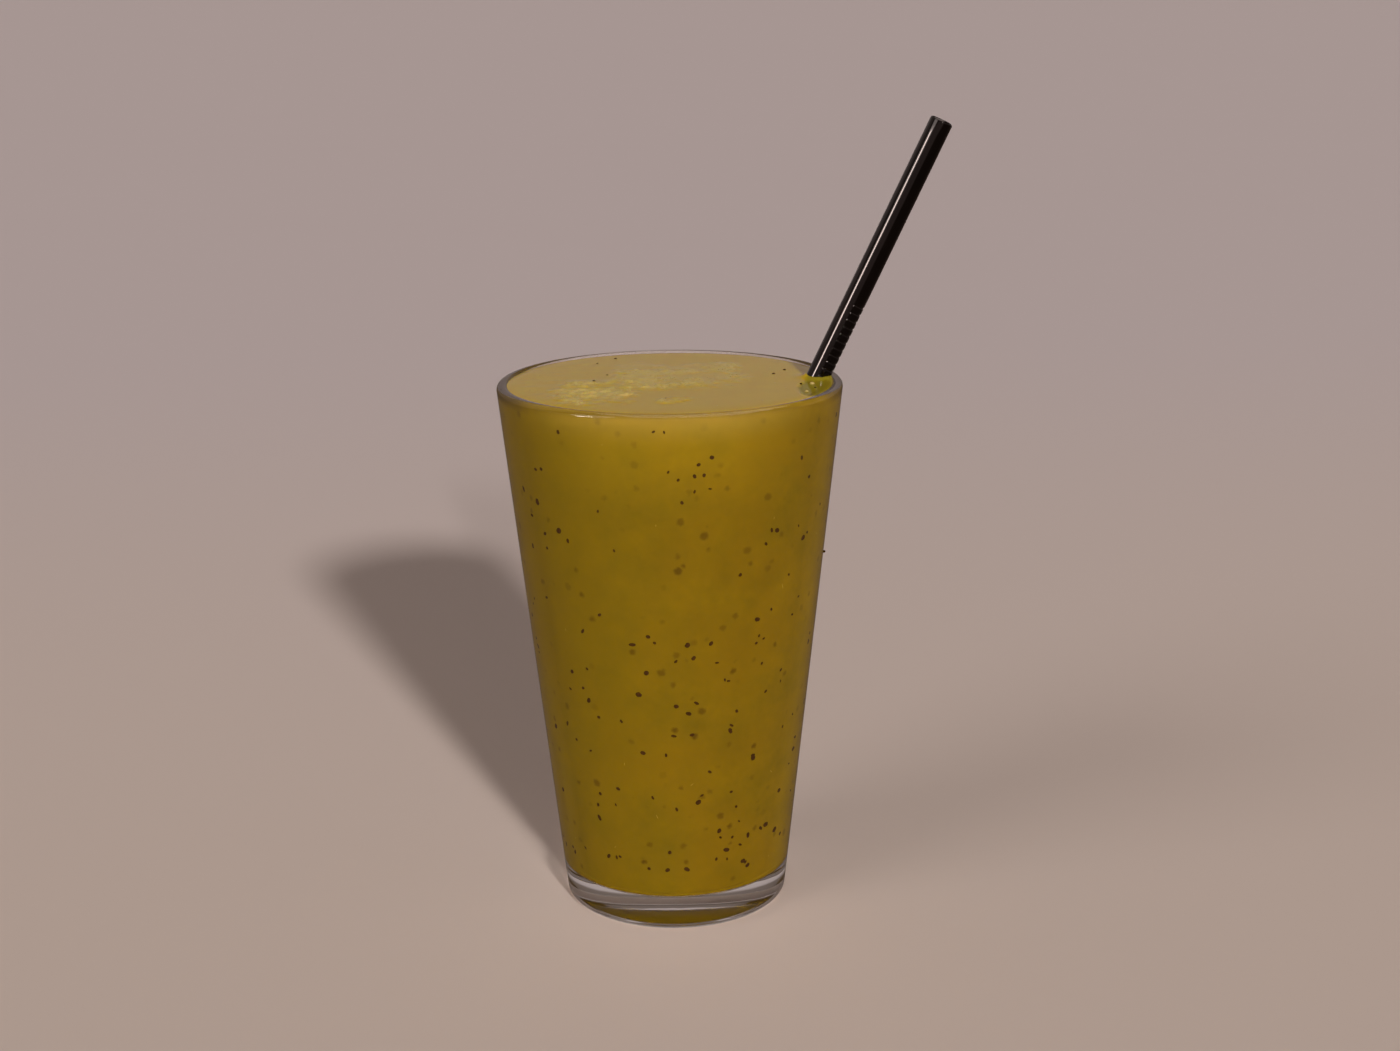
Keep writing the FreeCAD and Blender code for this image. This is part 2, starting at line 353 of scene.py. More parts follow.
class Outline:
    """The glass's outline as circles and the straight walls that touch them."""

    def __init__(self, glass):
        self.lip_radius = glass.lip_thickness / 2
        self.lip = (glass.rim_radius - self.lip_radius, glass.height - self.lip_radius)
        self.heel_radius = glass.heel_radius
        self.heel = (glass.foot_radius - glass.heel_radius, glass.heel_radius)
        self.outer_angle = tangent_angle(self.heel, self.heel_radius, self.lip, self.lip_radius)
        foot = on_circle(self.heel, self.heel_radius, self.outer_angle)
        floor_edge = foot[0] - (glass.floor_thickness - foot[1]) * math.tan(self.outer_angle)
        self.fillet = glass.floor_fillet
        self.floor = glass.floor_thickness
        self.corner = (floor_edge - glass.foot_wall - self.fillet, self.floor + self.fillet)
        self.inner_angle = tangent_angle(self.corner, self.fillet, self.lip, -self.lip_radius)
        self.ring = self.heel[0] - glass.foot_ring
        self.punt = glass.punt_depth

    def outer_radius(self, height):
        """The radius of the straight outer wall at a height."""
        foot = on_circle(self.heel, self.heel_radius, self.outer_angle)
        return foot[0] - (height - foot[1]) * math.tan(self.outer_angle)

    def inner_radius(self, height):
        """The radius of the straight inner wall at a height."""
        foot = on_circle(self.corner, self.fillet, self.inner_angle)
        return foot[0] - (height - foot[1]) * math.tan(self.inner_angle)

    def lip_inside(self, height, soak):
        """The radius of the lip's inner side at a height above its centre, moved out by soak."""
        rise = min(height - self.lip[1], self.lip_radius * 0.98)
        return self.lip[0] - math.sqrt((self.lip_radius - soak) ** 2 - rise ** 2)

    def glass_points(self):
        """The whole outline, from the punt's middle round to the inner floor's middle."""
        punt_radius = (self.ring ** 2 + self.punt ** 2) / (2 * self.punt)
        edge = math.pi / 2 - math.asin(self.ring / punt_radius)
        foot = on_circle(self.heel, self.heel_radius, self.outer_angle)
        outer_top = on_circle(self.lip, self.lip_radius, self.outer_angle)
        inner_top = on_circle(self.lip, -self.lip_radius, self.inner_angle)
        inner_foot = on_circle(self.corner, self.fillet, self.inner_angle)
        points = arc_points((0, self.punt - punt_radius), punt_radius, math.pi / 2, edge, 24)
        points += line_points(points[-1], (self.heel[0], 0), 4)
        points += arc_points(self.heel, self.heel_radius, -math.pi / 2, self.outer_angle, 14)
        points += line_points(foot, outer_top, 40)
        points += arc_points(self.lip, self.lip_radius, self.outer_angle, self.inner_angle + math.pi, 36)
        points += line_points(inner_top, inner_foot, 40)
        points += arc_points(self.corner, self.fillet, self.inner_angle, -math.pi / 2, 14)
        points += line_points(points[-1], (0, self.floor), 8)
        return points + [(0, self.floor)]

    def drink_side(self, soak, contact):
        """The drink's side from the floor's middle up to its contact line, soak into the glass."""
        inner_foot = on_circle(self.corner, self.fillet + soak, self.inner_angle)
        inner_top = on_circle(self.lip, soak - self.lip_radius, self.inner_angle)
        points = [(0, self.floor - soak)]
        points += line_points(points[0], (self.corner[0], self.floor - soak), 8)
        points += arc_points(self.corner, self.fillet + soak, -math.pi / 2, self.inner_angle, 12)
        points += line_points(inner_foot, inner_top, 60)
        start = self.inner_angle + math.pi
        end = math.pi - math.asin((contact - self.lip[1]) / (self.lip_radius - soak))
        return points + arc_points(self.lip, self.lip_radius - soak, start, end, 8)


# ---------------------------------------------------------------- mesh helpers

def new_piece(name, vertices, faces, materials, face_materials=None):
    """A smooth-shaded object that rides with the glass."""
    mesh = bpy.data.meshes.new(name)
    mesh.from_pydata([tuple(v) for v in vertices], [], faces)
    mesh.polygons.foreach_set("use_smooth", [True] * len(mesh.polygons))
    for material in materials:
        mesh.materials.append(material)
    if face_materials is not None:
        mesh.polygons.foreach_set("material_index", face_materials)
    mesh.validate()
    mesh.update()
    piece = bpy.data.objects.new(name, mesh)
    bpy.context.scene.collection.objects.link(piece)
    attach(piece, BODY)
    return piece


def skin(rings, start_pole=None, end_pole=None):
    """Vertices and quads that join closed rings of points in order, with a fan to each pole."""
    rings = np.asarray(rings)
    count, around = rings.shape[:2]
    vertices = [tuple(p) for p in rings.reshape(-1, 3)]
    faces = []
    for k in range(count - 1):
        low, high = k * around, (k + 1) * around
        for i in range(around):
            j = (i + 1) % around
            faces.append((low + i, low + j, high + j, high + i))
    for pole, base, flip in ((start_pole, 0, True), (end_pole, (count - 1) * around, False)):
        if pole is None:
            continue
        tip = len(vertices)
        vertices.append(tuple(pole))
        for i in range(around):
            j = (i + 1) % around
            faces.append((tip, base + j, base + i) if flip else (tip, base + i, base + j))
    return vertices, faces


def turned(points, segments):
    """Rings of points round Z, one for each (radius, height) that isn't on the axis."""
    angles = np.arange(segments) * (2 * math.pi / segments)
    circle = np.stack([np.cos(angles), np.sin(angles)], axis=1)
    rings = []
    for radius, height in points:
        ring = np.empty((segments, 3))
        ring[:, :2] = circle * radius
        ring[:, 2] = height
        rings.append(ring)
    return rings


def smooth_step(low, high, value):
    """0 below low, 1 above high, and an even curve between."""
    share = min(1.0, max(0.0, (value - low) / (high - low)))
    return share * share * (3 - 2 * share)


def waves(x, y, width, layer):
    """Smooth noise over a plane, from about -1 to 1, whose largest waves are width across.

    Each layer has a pattern of its own.
    """
    return noise.fractal(Vector((x / width, y / width, layer)), 1.0, 2.0, 3)


# ---------------------------------------------------------------- the straw's line

class StrawLine:
    """The straw's axis, worked out from its box: how far it leans and where its ends are."""

    def __init__(self, straw):
        low, high = STRAW_BOX
        reach = straw.radius - straw.end_round
        width = high.x - low.x - 2 * straw.end_round
        height = high.z - low.z - 2 * straw.end_round
        tilt = math.atan2(width, height)
        for _ in range(30):
            across = width - 2 * reach * math.cos(tilt)
            up = height - 2 * reach * math.sin(tilt)
            tilt = math.atan2(across, up)
        self.tilt = tilt
        self.length = math.hypot(across, up) + 2 * straw.end_round
        self.along = Vector((math.sin(tilt), 0, math.cos(tilt)))
        self.low = (low + high) / 2 - self.along * (self.length / 2)
        self.radius = straw.radius

    def matrix(self):
        """Moves what is made along Z from z = 0 to where the straw rests."""
        return Matrix.Translation(self.low) @ Matrix.Rotation(self.tilt, 4, "Y")

    def clearance(self, point):
        """The distance from a point to the straw's outside, negative within it."""
        away = Vector(point) - self.low
        return (away - self.along * away.dot(self.along)).length - self.radius


# ---------------------------------------------------------------- the drink's surface

# Patches of foam: middle, half sizes and turn, seen from above, in millimetres and degrees.
FOAM_PATCHES = (
    ((2.0, 3.0), (19.0, 16.0), 0.0),
    ((-6.0, 17.0), (9.0, 8.0), 0.0),
    ((13.0, 17.0), (8.0, 7.5), 0.0),
    ((-20.0, -13.0), (11.5, 17.0), 0.0),
    ((-1.0, -25.0), (5.5, 3.4), -5.0),
)

# The clearing by the straw: its middle, half sizes and turn, in millimetres and degrees.
CLEARING = ((37.5, -10.5), (5.5, 16.0), -15.6)

# Larger pale bubbles in the clearing, painted highlights that stand in for glints on the surface there:
# place and radius, in millimetres.
CLEARING_GLINT_BUBBLES = ((33.2, -17.0, 0.5), (35.9, -7.4, 0.65), (38.6, -1.5, 0.5))


def oval_distance(x, y, oval):
    """How far a point in millimetres is from an oval's middle, 1 at its edge."""
    (middle_x, middle_y), (half_x, half_y), turn = oval
    c, s = math.cos(math.radians(turn)), math.sin(math.radians(turn))
    u = ((x - middle_x) * c + (y - middle_y) * s) / half_x
    v = ((y - middle_y) * c - (x - middle_x) * s) / half_y
    return math.hypot(u, v)


def foam_nearness(x, y):
    """How far a point is from the nearest patch's middle, 1 at its ragged edge."""
    ragged_x = x / MM + 2.6 * waves(x, y, 8 * MM, 3.1)
    ragged_y = y / MM + 2.6 * waves(x, y, 8 * MM, 7.7)
    return min(oval_distance(ragged_x, ragged_y, patch) for patch in FOAM_PATCHES)


def foam_amount(x, y):
    """How much foam floats at a point, from 0 to 1, with a ragged edge and thin places."""
    edge = foam_nearness(x, y) + 0.12 * waves(x, y, 3 * MM, 1.3)
    thin = smooth_step(-0.55, 0.25, waves(x, y, 9 * MM, 5.5))
    return (1 - smooth_step(0.72, 1.08, edge)) * (0.3 + 0.7 * thin)


def clearing(x, y):
    """1 in the dark clearing between the straw and the lip, where no froth floats, 0 outside. Its darker
    colour is partly painted reflection of the dark straw.
    """
    away = oval_distance(x / MM, y / MM, CLEARING) + 0.1 * waves(x, y, 5 * MM, 6.2)
    return 1 - smooth_step(0.8, 1.05, away)


class Surface:
    """The height of the drink's surface at every point."""

    def __init__(self, settings):
        self.outline = Outline(settings.drink_glass)
        self.drink = settings.drink_body
        self.foam = settings.drink_foam
        self.straw = StrawLine(settings.drink_straw)

    def contact(self, angle):
        """Radius and height of the line where the surface meets the lip, at an angle round Z."""
        drop = 0.9 + 0.1 * math.sin(5 * angle) + 0.05 * math.sin(2 * angle)
        height = self.drink.level - self.drink.edge_drop * drop
        return self.outline.lip_inside(height, self.drink.soak), height

    def relief(self, x, y, amount):
        """How far the foam stands up: fine lumps, and folds that are highest in front."""
        foam = self.foam
        folds = max(0.0, 1 - abs(waves(x, y * 1.3, foam.ridge_width, 4.4)) * 3.2)
        piled = smooth_step(6 * MM, -12 * MM, y + 0.2 * x)
        lumps = waves(x, y, 1.3 * MM, 6.6)
        relief = amount * (foam.thickness + foam.ridge * folds * (0.35 + 0.65 * piled))
        return relief + amount * foam.grain * lumps * (0.6 + 0.6 * piled)

    def height(self, x, y):
        """Height and foam amount at a point."""
        drink = self.drink
        radius = math.hypot(x, y)
        edge, contact = self.contact(math.atan2(y, x))
        fall = (drink.level - contact) * math.exp(-(edge - radius) / drink.edge_reach)
        away = max(0.0, self.straw.clearance((x, y, drink.level)))
        climb = drink.straw_rise * math.exp(-away / drink.straw_reach)
        open_share = smooth_step(0.5 * MM, 3 * MM, edge - radius)
        amount = foam_amount(x, y) * open_share
        swell = drink.swell * waves(x, y, 16 * MM, 2.2)
        streaks = drink.streaks * waves(x, y * 2.2, 6 * MM, 9.4) * smooth_step(-12 * MM, -28 * MM, x)
        hollow = drink.hollow * clearing(x, y)
        slow = (swell + streaks - hollow) * open_share
        return drink.level + slow + self.relief(x, y, amount) + climb - fall, amount


# The surface's first rings, where it rounds down to the lip: how far in each is, in millimetres.
EDGE_RINGS = (0.05, 0.12, 0.22, 0.36, 0.55, 0.8, 1.1)


def build_drink(settings):
    """The drink: its side and floor a little into the glass, and its surface with foam relief."""
    drink = settings.drink_body
    surface = Surface(settings)
    around = drink.segments
    angles = [2 * math.pi * i / around for i in range(around)]
    contacts = [surface.contact(a) for a in angles]
    lowest = min(height for _, height in contacts)
    side = turned(surface.outline.drink_side(drink.soak, lowest)[1:], around)
    side_rings = len(side)
    last = side[-1]
    for i, (radius, height) in enumerate(contacts):
        last[i] = (radius * math.cos(angles[i]), radius * math.sin(angles[i]), height)
    foam_values = [0.0] * (side_rings * around)
    clear_values = [0.0] * (side_rings * around)
    inner = min(radius for radius, _ in contacts)
    insets = [step * MM / inner for step in EDGE_RINGS]
    while insets[-1] < 1 - drink.ring_step * 2 / inner:
        insets.append(insets[-1] + drink.ring_step / inner)
    for inset in insets:
        ring = np.empty((around, 3))
        for i, (radius, _) in enumerate(contacts):
            x = radius * (1 - inset) * math.cos(angles[i])
            y = radius * (1 - inset) * math.sin(angles[i])
            z, amount = surface.height(x, y)
            ring[i] = (x, y, z)
            foam_values.append(amount)
            clear_values.append(clearing(x, y))
        side.append(ring)
    middle, amount = surface.height(0.0, 0.0)
    floor_pole = (0, 0, surface.outline.floor - drink.soak)
    vertices, faces = skin(side, floor_pole, (0, 0, middle))
    side_faces = (side_rings - 1) * around
    top_faces = (len(side) - side_rings) * around
    indices = [0] * side_faces + [1] * top_faces + [0] * around + [1] * around
    materials = [drink_side_material(drink, settings.drink_glass), drink_surface_material(drink)]
    piece = new_piece("fruit_drink", vertices, faces, materials, indices)
    attributes = {"foam": foam_values + [0.0, amount], "clearing": clear_values + [0.0, 0.0]}
    for name, values in attributes.items():
        piece.data.attributes.new(name, "FLOAT", "POINT").data.foreach_set("value", values)
    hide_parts("drink")
    return piece


# ---------------------------------------------------------------- foam, seeds and pulp

# A seed's thickness as a share of its length.
SEED_FLATNESS = 0.6

# A seed at the wall has its middle a little inside the drink's side, and bulges out of it.
SEED_SINK = 0.03 * MM
SEED_BULGE = 0.09 * MM

# The seed on the outside of the glass: its angle round the glass, height and length.
DRIED_SEED = (math.radians(-9.75), 95.5 * MM, 1.2 * MM)

# Half the thickness of a pulp fibre.
FIBRE_RADIUS = 0.09 * MM


def blob(centre, axes, sides, rows, jitter=None, flat_side=1.0):
    """Rings and poles of a small egg: axes are its three half axes as vectors.

    flat_side is the share of the third half axis that is left on that axis's positive side.
    """
    a, b, c = axes
    rings = []
    for k in range(1, rows):
        polar = math.pi * k / rows
        ring = []
        for i in range(sides):
            turn = 2 * math.pi * i / sides
            swell = 1 + (jitter.uniform(-0.16, 0.16) if jitter else 0)
            flat = math.sin(polar) * swell
            rise = math.sin(turn)
            rise *= flat_side if rise > 0 else 1
            ring.append(centre + a * math.cos(polar) + b * (flat * math.cos(turn)) + c * (flat * rise))
        rings.append(ring)
    return rings, centre + a, centre - a


class Scatter:
    """Collects many small closed shapes into one mesh."""

    def __init__(self):
        self.vertices = []
        self.faces = []

    def add(self, rings, start_pole, end_pole):
        """Takes one shape, as rings and poles."""
        vertices, faces = skin([[tuple(p) for p in ring] for ring in rings], start_pole, end_pole)
        base = len(self.vertices)
        self.vertices += vertices
        self.faces += [tuple(i + base for i in face) for face in faces]

    def piece(self, name, material):
        """Makes the piece, as part of what replaces the plain drink."""
        return new_piece(name, self.vertices, self.faces, [material])


def build_bubbles(settings):
    """Small bubbles that stand on the foam, thicker along its edges and folds."""
    foam = settings.drink_foam
    surface = Surface(settings)
    rng = random.Random(11)
    scatter = Scatter()
    placed = 0
    reach = surface.outline.inner_radius(surface.drink.level) - 2 * MM
    while placed < foam.bubbles:
        x, y = rng.uniform(-reach, reach), rng.uniform(-reach, reach)
        if math.hypot(x, y) > reach or surface.straw.clearance((x, y, surface.drink.level)) < 1 * MM:
            continue
        height, amount = surface.height(x, y)
        edge = smooth_step(0.45, 0.9, foam_nearness(x, y))
        folds = smooth_step(0.1, 0.55, waves(x, y, 5 * MM, 8.8))
        crowd = 0.006 + amount * (0.12 + 0.5 * folds + 0.38 * edge * smooth_step(8 * MM, -8 * MM, y))
        if rng.random() > crowd:
            continue
        size = foam.smallest + (foam.largest - foam.smallest) * rng.random() ** 4
        centre = Vector((x, y, height - 0.2 * size))
        axes = (Vector((0, 0, 0.5 * size)), Vector((size, 0, 0)), Vector((0, size, 0)))
        scatter.add(*blob(centre, axes, sides=9, rows=6))
        placed += 1
    # Painted highlights: pale bubbles that stand in for the glints in the clearing.
    for x, y, size in CLEARING_GLINT_BUBBLES:
        centre = Vector((x * MM, y * MM, surface.height(x * MM, y * MM)[0]))
        axes = [Vector(axis) * size * MM for axis in ((0, 0, 0.8), (1, 0, 0), (0, 1, 0))]
        scatter.add(*blob(centre, axes, sides=16, rows=10))
    return scatter.piece("foam_bubbles", bubble_material(settings.drink_body))


def wall_frame(surface, angle, height):
    """A point of the drink's side, with its outward, sideways and upward directions."""
    outline = surface.outline
    radius = outline.inner_radius(height)
    lean = outline.inner_angle
    out = Vector((math.cos(angle) * math.cos(lean), math.sin(angle) * math.cos(lean), math.sin(lean)))
    side = Vector((-math.sin(angle), math.cos(angle), 0))
    point = Vector((radius * math.cos(angle), radius * math.sin(angle), height))
    return point, out, side, out.cross(side)


def seed_axes(rng, size, out, side, up, flatness):
    """Half axes of a seed that lies against the wall, turned any way."""
    turn = rng.uniform(0, math.pi)
    slim = rng.uniform(0.5, 0.95)
    long_axis = (side * math.cos(turn) + up * math.sin(turn)) * (size / 2)
    cross_axis = (up * math.cos(turn) - side * math.sin(turn)) * (size / 2 * slim)
    return long_axis, cross_axis, out * (size / 2 * flatness)


def build_seeds(settings):
    """Dark seeds that touch the wall, a few on the surface and one stuck outside."""
    seeds = settings.drink_seeds
    surface = Surface(settings)
    rng = random.Random(29)
    scatter = Scatter()
    low = surface.outline.floor + 3 * MM
    high = surface.drink.level - 4 * MM
    placed = 0
    while placed < seeds.count:
        angle, height = rng.uniform(-math.pi, math.pi), rng.uniform(low, high)
        radius = surface.outline.inner_radius(height)
        crowd = waves(angle * radius, height, 22 * MM, 12.5)
        if rng.random() > 0.6 + 0.6 * crowd:
            continue
        size = seeds.smallest + (seeds.largest - seeds.smallest) * rng.random() ** 1.8
        point, out, side, up = wall_frame(surface, angle, height)
        axes = seed_axes(rng, size, out, side, up, SEED_FLATNESS)
        centre = point + out * (surface.drink.soak - SEED_SINK)
        scatter.add(*blob(centre, axes, 12, 8, rng, SEED_BULGE / axes[2].length))
        placed += 1
    reach = surface.outline.inner_radius(surface.drink.level) - 3 * MM
    for _ in range(seeds.floating):
        angle, radius = rng.uniform(-math.pi, math.pi), reach * math.sqrt(rng.uniform(0.15, 1))
        x, y = radius * math.cos(angle), radius * math.sin(angle)
        if surface.straw.clearance((x, y, surface.drink.level)) < 2 * MM:
            continue
        size = rng.uniform(0.5, 0.9) * MM
        upwards, right, back = Vector((0, 0, 1)), Vector((1, 0, 0)), Vector((0, 1, 0))
        axes = seed_axes(rng, size, upwards, right, back, SEED_FLATNESS)
        scatter.add(*blob(Vector((x, y, surface.height(x, y)[0])), axes, 10, 7, rng))
    # One seed has dried on to the outside of the glass.
    turn, height, size = DRIED_SEED
    point, out, side, up = wall_frame(surface, turn, height)
    wall = surface.outline.outer_radius(height) - surface.outline.inner_radius(height)
    axes = seed_axes(rng, size, out, side, up, 0.7)
    scatter.add(*blob(point + out * (wall + 0.15 * MM), axes, 10, 7, rng))
    return scatter.piece("seeds", seed_material(seeds))


def build_fibres(settings):
    """Short pale fibres of pulp that touch the wall."""
    seeds = settings.drink_seeds
    surface = Surface(settings)
    rng = random.Random(41)
    scatter = Scatter()
    low = surface.outline.floor + 4 * MM
    high = surface.drink.level - 6 * MM
    for _ in range(seeds.fibres):
        point, out, side, up = wall_frame(surface, rng.uniform(-math.pi, math.pi), rng.uniform(low, high))
        turn = rng.gauss(math.pi / 2, 0.7)
        length = rng.uniform(0.6, 2.2) * MM
        axes = (
            (side * math.cos(turn) + up * math.sin(turn)) * (length / 2),
            (up * math.cos(turn) - side * math.sin(turn)) * FIBRE_RADIUS,
            out * FIBRE_RADIUS,
        )
        centre = point + out * (surface.drink.soak - 0.06 * MM)
        scatter.add(*blob(centre, axes, 6, 8, rng))
    return scatter.piece("pulp_fibres", fibre_material(seeds))


# ---------------------------------------------------------------- glass and straw

def build_glass(settings):
    """The clear tumbler."""
    glass = settings.drink_glass
    points = Outline(glass).glass_points()
    rings = turned(points[1:-1], glass.segments)
    vertices, faces = skin(rings, (0, 0, points[0][1]), (0, 0, points[-1][1]))
    piece = new_piece("tumbler", vertices, faces, [glass_material(glass)])
    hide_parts("glass")
    return piece


# Rings on the outside of each rolled end.
END_RINGS = 8


def straw_heights(straw, length):
    """Heights of the outside's rings: close together in each groove."""
    heights = [straw.end_round]
    first = length - straw.from_tip
    half = straw.groove_radius * 0.8
    for number in reversed(range(straw.grooves)):
        middle = first - number * straw.pitch
        heights += [middle + half * (k / 7) for k in range(-7, 8)]
    heights.append(length - straw.end_round)
    filled = []
    for low, high in zip(heights, heights[1:]):
        gap = high - low
        count = max(1, math.ceil(gap / (4 * MM)))
        filled += [low + gap * k / count for k in range(count)]
    return filled + [heights[-1]]


def groove_inset(straw, height, turn, length):
    """How far a groove cuts into the outside at a height and an angle round the straw."""
    first = length - straw.from_tip
    number = min(straw.grooves - 1, max(0, round((first - height) / straw.pitch)))
    off = height - (first - number * straw.pitch)
    if abs(off) >= straw.groove_radius:
        return 0.0
    shift = straw.groove_depth / (1 - math.cos(straw.groove_fade))
    middle = straw.radius + straw.groove_radius - straw.groove_depth + shift - shift * math.cos(turn)
    return max(0.0, straw.radius - middle + math.sqrt(straw.groove_radius ** 2 - off ** 2))


def build_straw(settings):
    """The steel tube with rolled ends and grooves that run out round the back."""
    straw = settings.drink_straw
    line = StrawLine(straw)
    length = line.length
    bore = straw.radius - straw.wall
    shoulder = straw.radius - straw.end_round
    inner_round = straw.end_round - straw.wall
    low, high = (shoulder, straw.end_round), (shoulder, length - straw.end_round)
    quarter = math.pi / 2
    outside = arc_points(low, straw.end_round, -quarter, 0, END_RINGS + 1)[:-1]
    outside += [(straw.radius, z) for z in straw_heights(straw, length)]
    outside += arc_points(high, straw.end_round, 0, quarter, END_RINGS + 1)[1:]
    inside = arc_points(high, inner_round, quarter, 0, 6)
    inside += line_points((bore, high[1]), (bore, low[1]), 20)
    inside += arc_points(low, inner_round, 0, -quarter, 6)
    rings = []
    for index, (radius, height) in enumerate(outside + inside + [outside[0]]):
        grooved = END_RINGS <= index < len(outside) - END_RINGS
        ring = []
        for i in range(straw.segments):
            turn = 2 * math.pi * i / straw.segments
            cut = groove_inset(straw, height, turn, length) if grooved else 0.0
            ring.append(((radius - cut) * math.cos(turn), (radius - cut) * math.sin(turn), height))
        rings.append(ring)
    vertices, faces = skin(rings)
    place = line.matrix()
    vertices = [place @ Vector(v) for v in vertices]
    piece = new_piece("steel_straw", vertices, faces, [steel_material(straw)])
    weld(piece)
    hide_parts("straw")
    return piece


def weld(piece):
    """Joins the first and last ring of a tube that closes on itself."""
    mesh = bmesh.new()
    mesh.from_mesh(piece.data)
    bmesh.ops.remove_doubles(mesh, verts=mesh.verts, dist=1e-7)
    mesh.to_mesh(piece.data)
    mesh.free()


# ---------------------------------------------------------------- material helpers

def new_group(name, inputs, outputs):
    """A shader node group, its inputs given as name, kind and default, its outputs without default."""
    tree = bpy.data.node_groups.new(name, "ShaderNodeTree")
    for socket, kind, default in inputs:
        made = tree.interface.new_socket(socket, in_out="INPUT", socket_type="NodeSocket" + kind)
        made.default_value = default
    for socket, kind in outputs:
        tree.interface.new_socket(socket, in_out="OUTPUT", socket_type="NodeSocket" + kind)
    return tree, tree.nodes.new("NodeGroupInput"), tree.nodes.new("NodeGroupOutput")


def add(tree, kind, inputs=None, **settings):
    """A node with its settings, its inputs given as values or as sockets to link."""
    node = tree.nodes.new("ShaderNode" + kind)
    for key, value in settings.items():
        setattr(node, key, value)
    for key, value in (inputs or {}).items():
        socket = node.inputs[key]
        if isinstance(value, bpy.types.NodeSocket):
            tree.links.new(value, socket)
        elif socket.type == "RGBA":
            socket.default_value = (*value[:3], 1)
        else:
            socket.default_value = value
    return node


def maths(tree, operation, first, second=0.0, clamp=False):
    """The result of a sum."""
    return add(tree, "Math", {0: first, 1: second}, operation=operation, use_clamp=clamp).outputs[0]


def mixed(tree, share, first, second):
    """A colour between two colours."""
    return add(tree, "Mix", {0: share, 6: first, 7: second}, data_type="RGBA").outputs[2]


def ramp(tree, value, low, high, start=0.0, end=1.0, smooth=False):
    """start below low, end above high, and a straight or smooth change between."""
    inputs = {"Value": value, "From Min": low, "From Max": high, "To Min": start, "To Max": end}
    kind = "SMOOTHSTEP" if smooth else "LINEAR"
    return add(tree, "MapRange", inputs, interpolation_type=kind).outputs[0]


def object_point(tree):
    """The place on the piece, in metres."""
    return add(tree, "TexCoord").outputs["Object"]


def part_of(tree, vector, axis):
    """A vector's part along X, Y or Z."""
    return add(tree, "SeparateXYZ", {0: vector}).outputs[axis]


def grouped(tree, group, values):
    """The first output of a group that is placed with its own values."""
    return add(tree, "Group", values, node_tree=group).outputs[0]


def new_material(name):
    """An empty material and its nodes."""
    material = bpy.data.materials.new(name)
    material.use_nodes = True
    material.node_tree.nodes.clear()
    return material, material.node_tree


def finish_material(tree, shader):
    """Sends a shader to the material's output."""
    output = tree.nodes.new("ShaderNodeOutputMaterial")
    tree.links.new(shader, output.inputs["Surface"])


def noise_group(name, output, detail, roughness):
    """A group that gives cloudy noise from 0 to 1, whose largest waves are as wide as its Size."""
    if name in bpy.data.node_groups:
        return bpy.data.node_groups[name]
    tree, start, end = new_group(
        name, [("Vector", "Vector", (0, 0, 0)), ("Size", "Float", 0.01)], [(output, "Float")])
    scale = maths(tree, "DIVIDE", 1.0, start.outputs["Size"])
    cloud = add(tree, "TexNoise", {
        "Vector": start.outputs["Vector"], "Scale": scale, "Detail": detail, "Roughness": roughness})
    tree.links.new(cloud.outputs["Fac"], end.inputs[output])
    return tree


def mottle(tree, point, size):
    """Soft cloudy variation: 0 to 1 around a half."""
    return grouped(tree, noise_group("Mottle", "Value", 3.0, 0.55), {"Vector": point, "Size": size})


def grain(tree, point, size):
    """The height of a fine even grain, for bumps."""
    return grouped(tree, noise_group("Fine grain", "Height", 4.0, 0.6), {"Vector": point, "Size": size})


def specks_group():
    """Soft round spots of seeds below the surface: 1 in a spot, 0 outside."""
    if "Sunken specks" in bpy.data.node_groups:
        return bpy.data.node_groups["Sunken specks"]
    tree, start, end = new_group(
        "Sunken specks",
        [("Vector", "Vector", (0, 0, 0)), ("Spacing", "Float", 0.006), ("Radius", "Float", 0.001),
         ("Blur", "Float", 0.0006)],
        [("Mask", "Float")])
    scale = maths(tree, "DIVIDE", 1.0, start.outputs["Spacing"])
    finer = maths(tree, "MULTIPLY", scale, 5.0)
    ragged = add(tree, "TexNoise", {
        "Vector": start.outputs["Vector"], "Scale": finer, "Detail": 2.0}).outputs["Color"]
    ragged = add(tree, "VectorMath", {0: ragged, 1: (0.5, 0.5, 0.5)}, operation="SUBTRACT").outputs[0]
    shift = add(tree, "VectorMath", {0: ragged}, operation="SCALE")
    tree.links.new(maths(tree, "MULTIPLY", start.outputs["Radius"], 2.5), shift.inputs["Scale"])
    moved = add(tree, "VectorMath", {0: start.outputs["Vector"], 1: shift.outputs[0]}).outputs[0]
    cells = add(tree, "TexVoronoi", {"Vector": moved, "Scale": scale, "Randomness": 1.0})
    distance = maths(tree, "MULTIPLY", cells.outputs["Distance"], start.outputs["Spacing"])
    parts = add(tree, "SeparateColor", {"Color": cells.outputs["Color"]})
    size = maths(tree, "MULTIPLY", start.outputs["Radius"], maths(tree, "ADD", parts.outputs[0], 0.35))
    outer = maths(tree, "ADD", size, start.outputs["Blur"])
    spot = ramp(tree, distance, size, outer, 1.0, 0.0, smooth=True)
    strength = maths(tree, "ADD", maths(tree, "MULTIPLY", parts.outputs[1], 0.75), 0.25)
    tree.links.new(maths(tree, "MULTIPLY", spot, strength), end.inputs["Mask"])
    return tree


# The blended fruit's shades: what the body colour's red, green and blue are multiplied by.
FRUIT_SHADES = {
    "Dark": (0.76, 0.80, 1),
    "Light": (1.18, 1.15, 1),
    "Warm": (1.05, 0.97, 1),
    "Green": (0.94, 1.03, 1),
}


